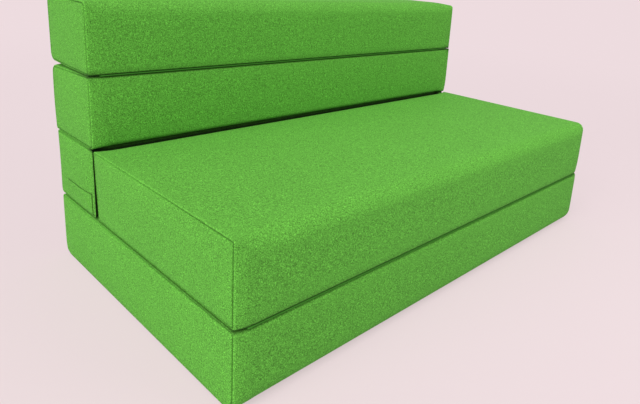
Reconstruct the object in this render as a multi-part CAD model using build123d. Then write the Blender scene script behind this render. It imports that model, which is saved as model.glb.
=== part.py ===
from build123d import *
from math import asin, cos, radians, sin, sqrt
import os

# A folding foam sofa bed: five foam blocks of one height, each in its own zipped
# fabric cover, joined edge to edge by sewn fold tapes. Folded, it is a low sofa.
# Unfolded, the blocks lie end to end as a flat bed.
# All sizes are in millimetres. X is the width, Y runs from the front to the rear
# and Z is up. The origin is on the floor, under the middle of the base.

# Driving sizes of the blocks
block_width = 1219.2
block_height = 152.4
seat_depth = 508.0
back_depth = 203.2
seat_gap = 10.0
fold_clearance = 0.1

# Soft form of a covered block
edge_drop = 4.0
edge_reach = 60.0
flat_cut = 0.5
free_edge = 28.0
rest_edge = 14.0
fold_edge = 6.0
seam_edge = 7.0
end_dome = 3.0
dome_reach = 36.0
end_roll_reach = 40.0
end_roll_drop = 5.0

# Sheet goods and their clearances
cover_thickness = 1.6
panel_thickness = 1.6
tape_thickness = 1.0
patch_thickness = 1.0
sewn_clearance = 0.2
foam_clearance = 1.2
tape_clearance = 0.3

# Fold tapes
tape_reach = 20.0
tape_end_margin = 24.0

# Corner patch of the lower back block
patch_length = 118.0
patch_height = 48.0

# Zip in the rear face of each cover
groove_height = 13.0
groove_depth = 5.0
groove_margin = 66.0
slit_height = 10.0
chain_margin = 108.0
zip_tape_height = 26.0
zip_tape_thickness = 0.8
zip_tape_tail = 22.0
coil_height = 2.0
coil_width = 6.0
coil_edge = 0.7
track_gap = 1.6
stop_length = 3.0

# Zip slider and its pull
slider_length = 11.0
slider_nose = 9.0
slider_tail = 7.4
slider_plate = 1.2
slider_flange = 0.9
slider_clearance = 0.3
slider_corner = 0.8
post_length = 3.4
post_width = 1.0
bridge_length = 5.6
bridge_width = 2.2
bridge_height = 2.6
bridge_wall = 0.8
pull_length = 30.0
pull_width = 6.0
pull_thickness = 1.0
pull_tip = 1.8
window_length = 4.6
window_clearance = 0.4

# One overrun for every cut
overrun = 5.0

# Shares of the sizes that they follow
outer_roll_shares = (1, 0.55, 0)
inner_roll_shares = (1, 0)
dome_shares = ((0, 0), (0.4, 0.7), (1, 1))
crown_share = 0.92

# Places that follow from the sizes above
base_depth = seat_depth + back_depth
front = -base_depth / 2
rear = base_depth / 2
seat_rear = front + seat_depth
lower_front = seat_rear + seat_gap
half_width = block_width / 2
seam_x = half_width - end_dome
panel_inset = end_roll_drop + cover_thickness + sewn_clearance

# Places along and across the zips, the depths measured in from the rear face
groove_half = half_width - groove_margin
chain_half = half_width - chain_margin
tape_depth = groove_depth + cover_thickness + sewn_clearance
coil_top = tape_depth - coil_height
plate_top = coil_top - slider_clearance - slider_plate
plate_back = tape_depth + zip_tape_thickness + slider_clearance
pocket_depth = plate_back + slider_plate + slider_clearance
bar_radius = pull_thickness / 2
bar_depth = plate_top - bridge_height / 2 + bridge_wall / 2
slider_start = -chain_half + stop_length + slider_length / 2 + slider_clearance
slider_travel = -2 * slider_start

# Each block: front, rear, underside, and the radii of its four long edges in the
# order front bottom, rear bottom, rear top, front top
blocks = {
    "base": (front, rear, 0, (free_edge, free_edge, rest_edge, fold_edge)),
    "seat": (front, seat_rear, block_height, (fold_edge, fold_edge, rest_edge, free_edge)),
    "lower_back": (
        lower_front,
        rear,
        block_height,
        (fold_edge, rest_edge, fold_edge, rest_edge),
    ),
    "middle_back": (
        seat_rear,
        rear,
        2 * block_height,
        (rest_edge, fold_edge, rest_edge, fold_edge),
    ),
    "top_back": (
        seat_rear,
        rear,
        3 * block_height,
        (fold_edge, rest_edge, free_edge, free_edge),
    ),
}


def fall(distance, reach, drop):
    """Height of a crowned side over its nominal face, at a distance from the block's edge."""
    total = drop + flat_cut
    radius = (reach**2 + total**2) / (2 * total)
    return flat_cut - radius + sqrt(radius**2 - (reach - distance) ** 2)


def slope(distance, reach, drop):
    """Angle of the crowned side there, in radians."""
    total = drop + flat_cut
    radius = (reach**2 + total**2) / (2 * total)
    return asin((reach - distance) / radius)


def soft_section(depth, height, radii, x, inset, straight=False):
    """Outline of a block across its width: four crowned sides and four rounded edges.

    The outline moves in by the inset and keeps its curves. A straight one has chords
    for its arcs, two to each rounded edge, and so lies inside the curved one. On a side
    too short for it, the crowned stretch is shorter.
    """
    half_y = depth / 2 - inset
    half_z = height / 2 - inset
    reach = min(edge_reach, min(half_y, half_z) * crown_share)
    drop = edge_drop * reach / edge_reach
    corners = (
        Vector(x, -half_y, -half_z),
        Vector(x, half_y, -half_z),
        Vector(x, half_y, half_z),
        Vector(x, -half_y, half_z),
    )
    sides = []
    for k, corner in enumerate(corners):
        following = corners[(k + 1) % len(corners)]
        along = (following - corner).normalized()
        out = along.cross(Vector(1, 0, 0))
        first = min(radii[k], reach * crown_share)
        last = min(radii[(k + 1) % len(corners)], reach * crown_share)
        start = [first, (first + reach) / 2, reach]
        end = [reach, (last + reach) / 2, last]
        rise = [corner + along * s + out * fall(s, reach, drop) for s in start]
        fade = [following - along * s + out * fall(s, reach, drop) for s in end]
        turn = slope(last, reach, drop)
        sides.append((rise, fade, along * cos(turn) - out * sin(turn)))
    edges = []
    for k, (rise, fade, leaving) in enumerate(sides):
        corner_end = sides[(k + 1) % len(sides)][0][0]
        rounding = TangentArc(fade[-1], corner_end, tangent=leaving)
        if straight:
            edges.append(Line(rise[0], rise[-1]))
            edges.append(Line(rise[-1], fade[0]))
            edges.append(Line(fade[0], fade[-1]))
            edges.append(Line(fade[-1], rounding @ 0.5))
            edges.append(Line(rounding @ 0.5, corner_end))
        else:
            edges.append(ThreePointArc(*rise))
            edges.append(Line(rise[-1], fade[0]))
            edges.append(ThreePointArc(*fade))
            edges.append(rounding)
    return Face(Wire(edges))


def seam_radii(radii, share=1):
    """Radii of the four long edges, which tighten by the share towards the end seam."""
    return [radius - share * max(0, radius - seam_edge) for radius in radii]


def width_stations(inset, shares, reach_past):
    """Place, inset and edge share of each section, as the ends roll in to the seam."""
    half = [(seam_x + reach_past, end_roll_drop + inset, 1)] if reach_past else []
    for share in shares:
        angle = radians(90 * share)
        x = seam_x - end_roll_reach * (1 - sin(angle))
        half.append((x, end_roll_drop * (1 - cos(angle)) + inset, share))
    return [(-x, depth, share) for x, depth, share in half] + list(reversed(half))


def block_size(name):
    """Depth of a block, the place of its middle, and the radii of its long edges."""
    block_front, block_rear, bottom, radii = blocks[name]
    depth = block_rear - block_front - 2 * fold_clearance
    middle = Vector(0, (block_front + block_rear) / 2, bottom + block_height / 2)
    return depth, middle, radii


def soft_form(name, inset, shares, reach_past=0, straight=False, tight=True):
    """Closed soft form of a block, cut flat where its sides would stand proud.

    The long edges of a tight one get sharper towards the end seams.
    """
    depth, middle, radii = block_size(name)
    sections = []
    for x, draw, share in width_stations(inset, shares, reach_past):
        edges = seam_radii(radii, share) if tight else radii
        sections.append(soft_section(depth, block_height, edges, x, draw, straight))
    room = Box(
        block_width + 2 * overrun, depth - 2 * inset, block_height - 2 * inset
    )
    return Pos(*middle) * (loft(sections, ruled=True) & room)


def rear_face(name):
    """The place at mid height on the outside of a block's rear face."""
    depth, middle, _ = block_size(name)
    return Pos(0, middle.Y + depth / 2, middle.Z)


def rear_groove(name, height, depth, half_length, round_ends=False):
    """A groove along a rear face, for cutting."""
    outline = Rectangle(2 * half_length, height)
    if round_ends:
        outline = SlotOverall(2 * half_length, height)
    cutter = extrude(outline, depth + overrun)
    return rear_face(name) * Pos(0, overrun, 0) * Rot(90, 0, 0) * cutter


def foam_core(name):
    """Foam block of one cover, with a pocket behind the zip."""
    inset = cover_thickness + foam_clearance
    form = soft_form(name, inset, inner_roll_shares, straight=True, tight=False)
    _, middle, _ = block_size(name)
    end = seam_x - panel_thickness - sewn_clearance
    room = Pos(*middle) * Box(2 * end, base_depth, block_height)
    pocket_height = zip_tape_height + 2 * sewn_clearance
    pocket = rear_groove(name, pocket_height, pocket_depth, groove_half + inset)
    return (form & room) - pocket


def cover_wrap(name):
    """Fabric tube of one cover, round the block's four long sides, with its zip slit."""
    outside = soft_form(name, 0, outer_roll_shares)
    outside -= rear_groove(name, groove_height, groove_depth, groove_half, True)
    wall = cover_thickness
    inside = soft_form(name, wall, inner_roll_shares, overrun, straight=True)
    inside -= rear_groove(
        name, groove_height + 2 * wall, groove_depth + wall, groove_half + wall
    )
    slit = rear_groove(name, slit_height, tape_depth, chain_half)
    return outside - inside - slit


def cut_corner_ring(depth, height, x, inset, cut):
    """Corners of a rectangle with its own corners cut off, across the block's width."""
    half_y = depth / 2 - inset
    half_z = height / 2 - inset
    points = []
    for sign_y, sign_z in ((1, 1), (-1, 1), (-1, -1), (1, -1)):
        near = (x, sign_y * half_y, sign_z * (half_z - cut))
        far = (x, sign_y * (half_y - cut), sign_z * half_z)
        points += [near, far] if sign_y == sign_z else [far, near]
    return points


def faceted_solid(rings):
    """Solid through rings of corners, with a flat face between each two neighbours."""
    faces = [Face(Wire.make_polygon(ring)) for ring in (rings[0], rings[-1])]
    for low, high in zip(rings, rings[1:]):
        for k, corner in enumerate(low):
            following = (k + 1) % len(low)
            quad = [corner, low[following], high[following], high[k]]
            faces.append(Face(Wire.make_polygon(quad)))
    return Solid(Shell(faces))


def end_form(name, side, lift=0):
    """Shallow dome that closes one end of a cover inside the seam of its wrap."""
    depth, middle, radii = block_size(name)
    size = (depth, block_height, seam_radii(radii))
    inner = side * (seam_x - panel_thickness)
    outer = side * (seam_x + lift)
    outlines = [soft_section(*size, x, panel_inset, straight=True) for x in (inner, outer)]
    plate = loft(outlines, ruled=True)
    rings = []
    for spread, rise in dome_shares:
        x = outer + side * end_dome * rise
        inset = panel_inset + edge_drop + dome_reach * spread
        rings.append(cut_corner_ring(depth, block_height, x, inset, seam_edge))
    return Pos(*middle) * (plate + faceted_solid(rings))


def corner_patch(name, side):
    """Square of fabric sewn on the lower front corner of an end panel."""
    block_front, _, bottom, _ = blocks[name]
    room = Pos(side * half_width, block_front + panel_inset, bottom + panel_inset) * Box(
        2 * (end_dome + patch_thickness),
        patch_length,
        patch_height,
        align=(Align.CENTER, Align.MIN, Align.MIN),
    )
    skin = end_form(name, side, lift=patch_thickness) & room
    return skin - end_form(name, side)


def fold_tape(y, z, inward):
    """Tape folded into the crease at (y, z), one leg sewn to each cover.

    The legs run inward and lie just clear of the two covers' crowned faces.
    """
    tip = -fall(tape_reach, edge_reach, edge_drop) - tape_clearance
    bend = -fall(fold_edge, edge_reach, edge_drop) - tape_clearance
    inner_tip = tip - tape_thickness
    inner_bend = bend - tape_thickness
    profile = [
        Line((tape_reach, -tip), (fold_edge, -bend)),
        ThreePointArc((fold_edge, -bend), (fold_edge - bend, 0), (fold_edge, bend)),
        Line((fold_edge, bend), (tape_reach, tip)),
        Line((tape_reach, tip), (tape_reach, inner_tip)),
        Line((tape_reach, inner_tip), (fold_edge, inner_bend)),
        ThreePointArc(
            (fold_edge, inner_bend), (fold_edge - inner_bend, 0), (fold_edge, -inner_bend)
        ),
        Line((fold_edge, -inner_bend), (tape_reach, -inner_tip)),
        Line((tape_reach, -inner_tip), (tape_reach, -tip)),
    ]
    half_length = half_width - tape_end_margin
    across = Plane(origin=(0, y, z), x_dir=(0, inward, 0), z_dir=(inward, 0, 0))
    return extrude(across * Face(Wire(profile)), half_length, both=True)


def gap_tape():
    """Flat tape under the gap between the seat and the lower back block."""
    top = block_height - fall(tape_reach, edge_reach, edge_drop) - tape_clearance
    length = block_width - 2 * tape_end_margin
    middle = (seat_rear + lower_front) / 2
    place = Pos(0, middle, top - tape_thickness / 2)
    return place * Box(length, seat_gap + 2 * tape_reach, tape_thickness)


def zip_tapes(name):
    """The two woven tapes of a zip, sewn behind the edges of the slit."""
    half = chain_half + zip_tape_tail
    height = (zip_tape_height - track_gap) / 2
    tapes = []
    for side in (1, -1):
        place = Pos(
            0,
            -tape_depth - zip_tape_thickness / 2,
            side * (track_gap + height) / 2,
        )
        tapes.append(rear_face(name) * place * Box(2 * half, zip_tape_thickness, height))
    return Compound(tapes)


def zip_chain(name):
    """Closed chain of a zip: two half-round coils and the stops at both ends."""
    height = (coil_width - track_gap) / 2
    coils = []
    for side in (1, -1):
        band = Box(2 * chain_half, coil_height, height)
        far = band.edges().filter_by(Axis.X).group_by(Axis.Y)[-1]
        band = fillet(far, coil_edge)
        coils.append(Pos(0, 0, side * (track_gap + height) / 2) * band)
    chain = coils[0] + coils[1]
    for side in (1, -1):
        middle = side * (chain_half - stop_length / 2)
        chain += Pos(middle, 0, 0) * Box(stop_length, coil_height, coil_width)
    return rear_face(name) * Pos(0, coil_height / 2 - tape_depth, 0) * chain


def slider_outline(wide, narrow, corner=0):
    """Outline of a slider plate: a shield that narrows towards the closed chain."""
    half = slider_length / 2
    points = [
        (half, wide / 2),
        (half, -wide / 2),
        (0, -wide / 2),
        (-half, -narrow / 2),
        (-half, narrow / 2),
        (0, wide / 2),
    ]
    shield = make_face(Polyline(*points, close=True))
    ends = shield.vertices().filter_by(lambda vertex: abs(vertex.X) > half / 2)
    return fillet(ends, corner) if corner else shield


def zip_slider(name):
    """Slider of a zip: two plates joined by a post, with flanges and an arched bridge."""
    shield = slider_outline(slider_nose, slider_tail)
    rounded = slider_outline(slider_nose, slider_tail, slider_corner)
    lay = Rot(90, 0, 0)
    face_plate = Pos(0, -plate_top, 0) * lay * extrude(rounded, slider_plate)
    back_plate = Pos(0, -plate_back, 0) * lay * extrude(shield, slider_plate)
    wall = slider_flange
    channel = slider_outline(slider_nose - 2 * wall, slider_tail - 2 * wall)
    opening = SlotOverall(2 * slider_length, coil_width + 2 * slider_clearance)
    rim = extrude(shield - channel - opening, coil_height)
    flanges = Pos(0, -plate_top - slider_plate, 0) * lay * rim
    post_depth = plate_back - plate_top - slider_plate
    post_x = (slider_length - post_length) / 2 - slider_corner
    post = Pos(post_x, -(plate_top + slider_plate + plate_back) / 2, 0) * Box(
        post_length, post_depth, post_width
    )
    half = bridge_length / 2
    crown = bridge_height
    arch = [
        Line((-half, 0), (half, 0)),
        ThreePointArc((half, 0), (0, crown), (-half, 0)),
    ]
    hollow_half = half - bridge_wall
    hollow = [
        Line((-hollow_half, -overrun), (hollow_half, -overrun)),
        Line((hollow_half, -overrun), (hollow_half, 0)),
        ThreePointArc((hollow_half, 0), (0, crown - bridge_wall), (-hollow_half, 0)),
        Line((-hollow_half, 0), (-hollow_half, -overrun)),
    ]
    bridge = extrude(Face(Wire(arch)) - Face(Wire(hollow)), bridge_width / 2, both=True)
    bridge = Pos(0, -plate_top, 0) * bridge
    slider = face_plate + back_plate + flanges + post + bridge
    return rear_face(name) * Pos(slider_start, 0, 0) * slider


def zip_pull(name):
    """Pull tab of a slider: a flat tongue with a window, and a round bar in the bridge."""
    opening = bridge_width + 2 * window_clearance
    tongue = Pos(pull_length / 2, 0) * Rectangle(pull_length, pull_width)
    tongue = chamfer(tongue.vertices().group_by(Axis.X)[-1], pull_tip)
    window = Pos(window_length / 2, 0) * Rectangle(window_length, opening)
    tongue -= window
    tab = Rot(90, 0, 0) * Pos(0, 0, -bar_radius) * extrude(tongue, pull_thickness)
    bar = Cylinder(bar_radius, pull_width)
    return rear_face(name) * Pos(slider_start, -bar_depth, 0) * (tab + bar)


def all_parts():
    """Every piece by the name of its file."""
    parts = {}
    for name in blocks:
        parts[name + "_foam"] = foam_core(name)
        parts[name + "_cover"] = cover_wrap(name)
        parts[name + "_end_left"] = end_form(name, -1)
        parts[name + "_end_right"] = end_form(name, 1)
        parts[name + "_zip_tape"] = zip_tapes(name)
        parts[name + "_zip_chain"] = zip_chain(name)
        parts[name + "_zip_slider"] = zip_slider(name)
        parts[name + "_zip_pull"] = zip_pull(name)
    parts["lower_back_patch_left"] = corner_patch("lower_back", -1)
    parts["lower_back_patch_right"] = corner_patch("lower_back", 1)
    parts["seat_fold_tape"] = fold_tape(front, block_height, 1)
    parts["middle_fold_tape"] = fold_tape(rear, 2 * block_height, -1)
    parts["top_fold_tape"] = fold_tape(seat_rear, 3 * block_height, 1)
    parts["seat_gap_tape"] = gap_tape()
    return parts


os.makedirs("parts", exist_ok=True)
for node, solid in all_parts().items():
    export_step(solid, f"parts/{node}.step")
print("slider starts at", slider_start, "and travels", slider_travel)
print("pull turns about y", -bar_depth, "from the rear face")
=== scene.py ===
import math

import bmesh
import bpy
import numpy as np
from mathutils import Matrix, Vector
from mathutils.bvhtree import BVHTree


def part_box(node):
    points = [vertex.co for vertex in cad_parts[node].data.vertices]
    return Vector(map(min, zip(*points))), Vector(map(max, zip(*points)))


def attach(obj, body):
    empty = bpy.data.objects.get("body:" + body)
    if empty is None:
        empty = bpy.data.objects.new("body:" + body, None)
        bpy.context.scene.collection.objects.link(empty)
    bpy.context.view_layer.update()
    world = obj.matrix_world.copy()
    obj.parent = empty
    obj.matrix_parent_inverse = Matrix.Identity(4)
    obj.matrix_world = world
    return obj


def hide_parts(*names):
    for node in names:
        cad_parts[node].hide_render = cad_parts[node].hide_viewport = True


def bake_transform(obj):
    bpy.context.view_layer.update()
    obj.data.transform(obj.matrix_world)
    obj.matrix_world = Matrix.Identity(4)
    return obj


# A folding foam sofa bed: five foam blocks in zipped covers of bright green woven
# fabric, joined by fold tapes. Lengths are in metres, in the frame's own axes: X is
# the width, Y runs from the front to the rear and Z is up.

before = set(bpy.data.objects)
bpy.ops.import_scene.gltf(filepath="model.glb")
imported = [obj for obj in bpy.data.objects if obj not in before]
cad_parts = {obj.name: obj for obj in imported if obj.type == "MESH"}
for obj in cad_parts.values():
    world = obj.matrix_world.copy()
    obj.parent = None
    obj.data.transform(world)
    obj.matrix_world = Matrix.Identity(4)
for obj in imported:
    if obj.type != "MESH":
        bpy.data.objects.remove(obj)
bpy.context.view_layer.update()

MM = 0.001

# The photograph's frame and the camera that was fitted to the blocks' corners in it
IMAGE_WIDTH = 640
IMAGE_HEIGHT = 404
FOCAL_PIXELS = 564.14
CENTRE_PIXEL_X = 352.65
CENTRE_PIXEL_Y = 125.74
CAMERA_PLACE = Vector((-1.0320, -0.9700, 0.6852))
CAMERA_YAW = math.radians(46.446)
CAMERA_PITCH = math.radians(15.050)
CAMERA_ROLL = math.radians(3.771)
SENSOR_WIDTH = 36.0
VIEW_END = 200

# Light: the level of the even light, then the distant lamps, as direction, angle and
# level, and the near ones, as place, target, size and level
FILL_LEVEL = 0.41
SUNS = {
    "upper_left": (Vector((-0.42, -0.22, 0.88)), math.radians(40), 0.40),
    "left": (Vector((-0.90, 0.00, 0.35)), math.radians(40), 0.31),
}
NEAR_LAMPS = {
    "near_front": (Vector((0.35, -1.5, 1.5)), Vector((0.05, -0.25, 0.3)), 1.0, 0.25),
    "near_left": (Vector((-2.3, -0.9, 1.0)), Vector((-0.6, -0.2, 0.3)), 0.9, 0.11),
}

# Colours, linear, and the floor: its share of the backdrop's colour near the sofa, the
# distances between which that rises to 1, its radius and drop, its roughness and shine
FABRIC_GREEN = (0.131, 0.430, 0.052)
# The fold tapes' green is darker than the cover's, as painted shade of the creases and the gap
# in which they lie
FOLD_SHADE_GREEN = (0.055, 0.225, 0.024)
ZIP_TAPE_GREEN = (0.085, 0.300, 0.040)
COIL_GREEN = (0.100, 0.340, 0.050)
METAL_GREEN = (0.090, 0.310, 0.045)
FOAM_CREAM = (0.800, 0.720, 0.520)
FLOOR_GREY = (0.600, 0.600, 0.600)
FLOOR_PINK = (0.860, 0.725, 0.750)
BACKDROP_PINK = (0.850, 0.715, 0.740)
FLOOR_SHOWN = 0.70
FLOOR_NEAR = 1.2
FLOOR_FAR = 5.0
FLOOR_RADIUS = 12.0
FLOOR_DROP = 0.5 * MM
FLOOR_FINISH = (0.9, 0.1)

# Cloths: the speckled yarn's spots, as size and share of the cloth's amount; the broad
# patches; the middle range and the roughness of a noise; the shine; the threads' painted
# light and shade, lighter on the weave's raised threads and darker in its hollows, and
# their relief; the sheen's roughness and paleness; and each cloth's colour, thread pitch,
# relief, speckle, roughness and sheen
SPECKLES = ((1.3 * MM, 1), (2.2 * MM, 0.58), (4.2 * MM, 0.18))
PATCHES = (160 * MM, 0.02)
NOISE_RANGE = (0.3, 0.7)
NOISE_ROUGHNESS = 0.6
CLOTH_SHINE = 0.12
THREAD_LIGHT = 0.06
THREAD_BUMP = 0.6
SHEEN_ROUGHNESS = 0.5
SHEEN_PALE = 0.4
CLOTHS = {
    "cover_cloth": (FABRIC_GREEN, 1.1 * MM, 0.10 * MM, 0.48, 0.85, 0.05),
    "fold_shade_cloth": (FOLD_SHADE_GREEN, 1.1 * MM, 0.10 * MM, 0.04, 0.95, 0.0),
    "zip_cloth": (ZIP_TAPE_GREEN, 0.7 * MM, 0.08 * MM, 0.05, 0.8, 0.05),
}

# Plastic and metal: spots, patches, relief, shine and how far the roughness varies, then
# each one's colour, roughness and unevenness. The foam: its pores, darkened as painted
# shade, its broad patches, and its roughness and shine.
SKIN_SPOTS = 0.8 * MM
SKIN_PATCHES = 20 * MM
SKIN_RELIEF = 0.02 * MM
SKIN_BUMP = 0.3
SKIN_SHINE = 0.5
SKIN_CHANGES = (-0.05, 0.08)
SKINS = {
    "coil_plastic": (COIL_GREEN, 0.35, 0.03),
    "zip_paint": (METAL_GREEN, 0.32, 0.04),
}
PORE_SIZE = 1.8 * MM
PORE_SHADE = 0.72
PORE_RELIEF = 0.5 * MM
PORE_BUMP = 0.8
FOAM_PATCHES = (40 * MM, 0.04)
FOAM_FINISH = (0.95, 0.2)

# Room left between a cover and what it touches, and how near counts as on a face
LEVEL_ROOM = 0.15 * MM
TOUCH = 0.001 * MM

# Soft form of a cover near its end seams: the stretches over which its front and its
# rear fall in, its edges tighten and its crown flattens, the turned edge, and the share
# of the crown left at the seams. The usual falls at the front and rear and at the top
# and bottom place the end panels' rims.
SIDE_REACH = 38 * MM
SIDE_POWER = 2.3
REAR_REACH = 60 * MM
TIGHT_REACH = 46 * MM
CROWN_REACH = 58 * MM
END_CROWN_SHARE = 0.12
TURNED_EDGE = 1.6 * MM
SIDE_FALL = 5.0 * MM
LEVEL_FALL = 1.5 * MM

# End panel: its seam, the rim that stands up beside it and the low dome
SEAM_PLACE = 1.6 * MM
SEAM_WIDTH = 2.0 * MM
SEAM_DEPTH = 2.2 * MM
RIM_RISE = 1.0 * MM
RIM_REACH = 6 * MM
DOME_RISE = 1.2 * MM
DOME_REACH = 60 * MM

# Cloth simulation of the end panels: its cells, how uneven it starts, in waves whose
# lengths along Y and Z are in millimetres, with phase and share, and its settings
CLOTH_CELL = 7 * MM
CLOTH_SLACK = 0.9 * MM
CLOTH_WAVES = ((46, 31, 0.3, 1.0), (71, 44, 1.9, 0.8), (29, 66, 4.1, 0.6), (110, 57, 2.6, 0.7))
CLOTH_FRAMES = 20
CLOTH_QUALITY = 6
CLOTH_PRESSURE = 4.0
CLOTH_CAP = 4.5 * MM

# Steps of the covers' meshes. The end places are distances from the seam plane, and the
# panel's rings lie that far inside the seam's outline, both in millimetres.
LONG_STEP = 15 * MM
FLAT_STEP = 11 * MM
CORNER_STEPS = 6
SIDE_PARTS = 6
END_PLACES = (0, 0.35, 0.9, 1.55, 2.2, 3.6, 6, 9, 13, 18, 24, 31, 39, 48, 60)
PANEL_RINGS = (0.3, 0.7, 1.1, 1.6, 2.1, 2.5, 3.0, 3.7, 5.0, 6.8, 9.5)

# Zip: rows beside its middle line in millimetres, the groove between the lips and the
# slit, how each ends, and the room that the foam leaves
ZIP_ROWS = (0, 2.4, 4.8, 5.2, 6.2, 8.0, 11.0)
GROOVE_DEPTH = 5.0 * MM
SLIT_DEPTH = 9.7 * MM
LIP_END = 20 * MM
LIP_RISE = 12 * MM
SLIT_END = (0.2 * MM, 1.5 * MM)
ZIP_ROOM = 12 * MM

# Zip tapes: the track between them, their corded edge and their far hem
ZIP_TRACK = 1.6 * MM
TAPE_CORD = (0.6 * MM, 2 * MM)
TAPE_HEM = 3 * MM

# Coils and end stops: an outline in shares of the pitch and of the height, then rows, as
# place across in millimetres and shares of the outline's width and height
COIL_PITCH = 1.5 * MM
COIL_OUTLINE = ((-0.5, 0), (-0.5, 0.55), (-0.24, 1), (0.24, 1), (0.5, 0.55), (0.5, 0))
COIL_ROWS = ((0.12, 0.55, 0.86), (0.6, 0.92, 1.0), (2.2, 0.8, 0.94), (2.95, 0.6, 0.6))
COIL_OFFSETS = {1: 0.25, -1: 0.75}
COIL_SLANT = 0.35
STOP_LENGTH = 3 * MM
STOP_ROWS = ((-3.0, 0.86, 0.7), (-2.4, 1, 1.0), (2.4, 1, 1.0), (3.0, 0.86, 0.7))

# Foam cores: how far inside the cover, their bevelled ends and their mesh's step
CORE_INSET = 3 * MM
CORE_BEVEL = 6 * MM
CORE_STEP = 60 * MM

# Fold tapes: mesh steps, how deep they reach and turn in a crease, how far their tips
# and legs lie from its middle, their thickness and half the height in which they bend
STRIP_STEP = 12 * MM
GAP_STEP = 4 * MM
TURN_STEPS = 12
TAPE_REACH = 20 * MM
TAPE_TURN = 2 * MM
TAPE_TIP = 0.5 * MM
TAPE_HALF = 0.9 * MM
TAPE_THICKNESS = 0.4 * MM

# Corner patches: their room beside the seam, their mesh's step, how high their two faces
# lie over the panel, how far and over which stretch their edges turn down, and the
# painted shade on their rims
PATCH_MARGIN = 1.0 * MM
PATCH_STEP = 3 * MM
PATCH_LIFT = 1.1 * MM
PATCH_UNDER = 0.15 * MM
PATCH_TURN = 0.3 * MM
PATCH_TURN_REACH = 4 * MM
PATCH_RIM_SHADE = 0.3

# Each block: the body that carries it; the radii of its four long edges at mid width
# and at the left and right end seams, and the crowns' drops at those edges, in the
# order front bottom, rear bottom, rear top, front top; how far its front falls in at
# the left and right seams, and its rear at the bottom, the middle and the top (below 0,
# it stands out); how far its bottom and its top draw in at the front and at the rear,
# and over which reach. All in millimetres.
BLOCKS = {
    "base": {
        "body": "base",
        "radii": (28, 28, 14, 11),
        "left_radii": (26, 26, 8, 5),
        "right_radii": (30, 26, 8, 6),
        "drops": (4, 4, 3, 2),
        "front_fall": (8, 6),
        "rear_fall": (5, 5, 5),
        "bottom_fall": (1.5, 1.5, 30),
        "top_fall": (1.4, 2.4, 30),
    },
    "seat": {
        "body": "seat",
        "radii": (4, 6, 7, 28),
        "left_radii": (4, 6, 5, 2),
        "right_radii": (4, 6, 1.5, 20),
        "drops": (1.5, 3, 2, 4),
        "front_fall": (8, 6),
        "rear_fall": (5, 0.5, -3.5),
        "bottom_fall": (1.4, 2.4, 30),
        "top_fall": (1.5, 0.4, 30),
    },
    "lower_back": {
        "body": "seat",
        "radii": (7, 14, 6, 10),
        "left_radii": (4, 10, 4, 5),
        "right_radii": (6, 8, 5, 2),
        "drops": (3, 3, 2, 3),
        "front_fall": (-1.2, 0),
        "rear_fall": (3, 5, 3),
        "bottom_fall": (1.0, 2.0, 30),
        "top_fall": (0.2, 0.6, 30),
    },
    "middle_back": {
        "body": "middle_back",
        "radii": (11, 6, 14, 6),
        "left_radii": (6, 5, 17, 4),
        "right_radii": (5, 5, 8, 1.5),
        "drops": (3, 2, 3, 2),
        "front_fall": (5, 0),
        "rear_fall": (-2, -5, -2),
        "bottom_fall": (0.6, 0.6, 30),
        "top_fall": (0.3, 5.0, 30),
    },
    "top_back": {
        "body": "top_back",
        "radii": (4, 14, 28, 28),
        "left_radii": (3, 18, 20, 9),
        "right_radii": (1.5, 10, 20, 9),
        "drops": (1.5, 3, 4, 4),
        "front_fall": (5, 2),
        "rear_fall": (-5, -5, -5),
        "bottom_fall": (0.3, 5.0, 30),
        "top_fall": (7, 5, 60),
    },
}

# Where an end is drawn in: the corner's number in that order, how far and its reach, in
# millimetres, and the stretch of the block's width that goes with it
END_PULLS = {
    ("base", 1): ((3, 5, 22), (0, 4, 60)),
    ("seat", 1): ((0, 8, 52),),
    ("middle_back", 1): ((0, 6, 46),),
}
PULL_REACH = 70 * MM

# Painted shade in the seams, at the creases and in the gap behind the seat, and a painted
# highlight on the turned edge. Each crease is a block's level and its shares of the full
# shade at the front and at the ends. A band is the two distances between which a shade
# comes or goes.
CREASES = {
    "base": (("top", 1, 1), ("bottom", 0.8, 0.5)),
    "seat": (("bottom", 1, 1),),
    "lower_back": (("bottom", 0.3, 0.8), ("top", 1, 0.3)),
    "middle_back": (("bottom", 0.4, 0.3), ("top", 1, 0.8)),
    "top_back": (("bottom", 1, 0.9),),
}
GAP_SIDES = {"seat": "rear", "lower_back": "front"}
SEAM_SHADE = 0.35
SEAM_LINE = 0.9 * MM
TOP_SEAM_FADE = 0.75
TOP_SEAM_BAND = (5 * MM, 14 * MM)
TOP_SEAM_SHARES = (0.1, 0.6)
RIM_LIGHT = 0.16
RIM_LIGHT_PLACE = 1.2 * MM
RIM_LIGHT_WIDTH = 1.3 * MM
CREASE_SHADE = 0.08
CREASE_REACH = 24 * MM
CREASE_BAND = (1.5 * MM, 7.0 * MM)
EDGE_SHADE = 0.10
EDGE_REACH = 5 * MM
EDGE_BAND = (0.8 * MM, 3.6 * MM)
GAP_SHADE = 0.06
GAP_BAND = (5 * MM, 12 * MM)
GAP_END_BAND = (8 * MM, 24 * MM)
GAP_TOP_BAND = (4 * MM, 14 * MM)
WRAP_EDGE = 0.5 * MM


def smooth_step(value, low, high):
    """0 below low, 1 above high, and smooth in between."""
    t = np.clip((np.asarray(value, float) - low) / (high - low), 0, 1)
    return t * t * (3 - 2 * t)


def near_fall(distance, reach, power=2):
    """1 at an edge, falling smoothly to 0 at its reach."""
    return np.clip(1 - np.asarray(distance, float) / reach, 0, 1) ** power


def spread(low, high, step):
    """Evenly spaced values from low to high, about a step apart."""
    count = max(1, round((high - low) / step))
    return list(np.linspace(low, high, count + 1))


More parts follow.
